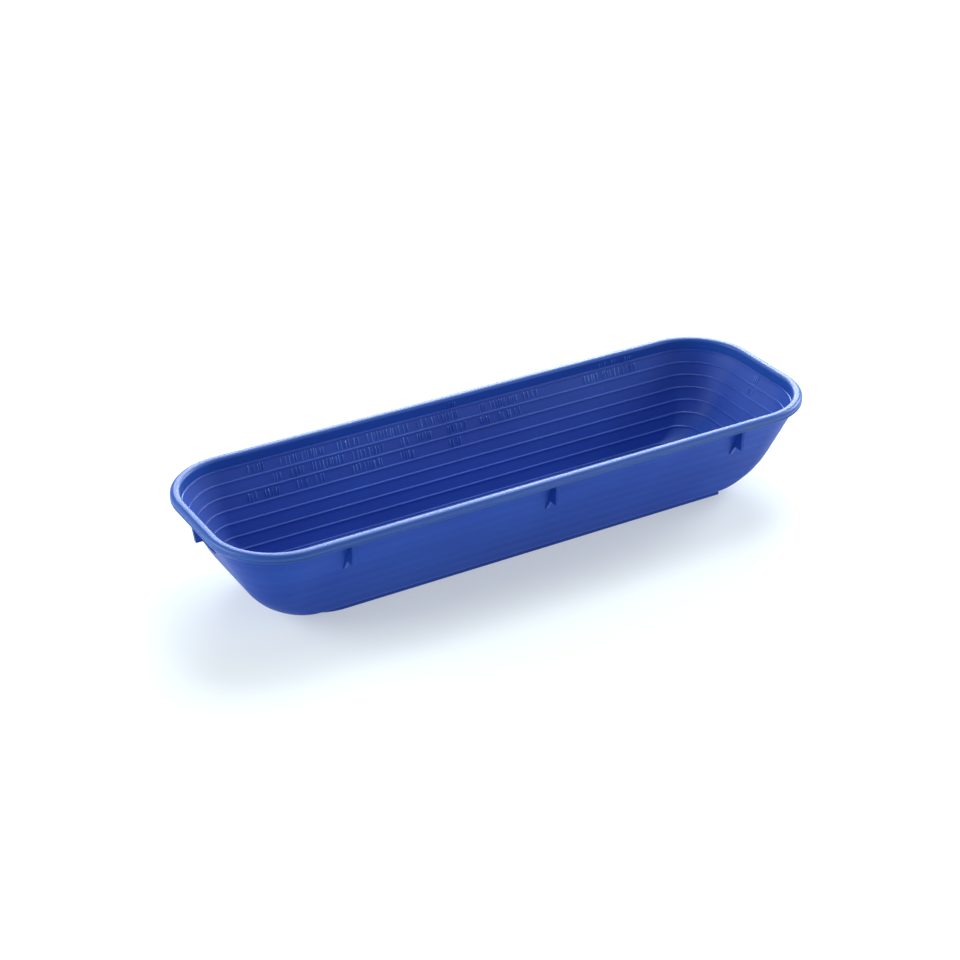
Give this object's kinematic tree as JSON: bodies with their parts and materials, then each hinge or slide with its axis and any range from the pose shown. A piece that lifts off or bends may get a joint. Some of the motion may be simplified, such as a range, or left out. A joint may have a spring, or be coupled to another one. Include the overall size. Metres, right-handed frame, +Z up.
{
  "type": "dough proofing basket",
  "caption": "Long stackable plastic basket for proofing baguette dough, with coil ridges inside, a rolled rim, stacking lugs and foot rails.",
  "frame": {"origin": "on the standing plane, under the centre of the rim", "axes": "+X along the length, +Y across the width, +Z up out of the open top"},
  "size_m": [0.4, 0.128, 0.065],
  "materials": {
    "basket_plastic": "semi-gloss moulded polypropylene"
  },
  "bodies": {
    "root": {"basket_shell": "basket_plastic", "rolled_rim": "basket_plastic", "wall_coil_ridge_1": "basket_plastic", "wall_coil_ridge_2": "basket_plastic", "wall_coil_ridge_3": "basket_plastic", "wall_coil_ridge_4": "basket_plastic", "wall_coil_ridge_5": "basket_plastic", "wall_coil_ridge_6": "basket_plastic", "wall_coil_ridge_7": "basket_plastic", "wall_coil_ridge_8": "basket_plastic", "floor_coil_ridge_1": "basket_plastic", "floor_coil_ridge_2": "basket_plastic", "floor_coil_ridge_3": "basket_plastic", "stacking_lug_front_left": "basket_plastic", "stacking_lug_front_middle": "basket_plastic", "stacking_lug_front_right": "basket_plastic", "stacking_lug_back_left": "basket_plastic", "stacking_lug_back_middle": "basket_plastic", "stacking_lug_back_right": "basket_plastic", "stacking_lug_end_left": "basket_plastic", "stacking_lug_end_right": "basket_plastic", "foot_rail_front": "basket_plastic", "foot_rail_back": "basket_plastic"}
  },
  "joints": []
}
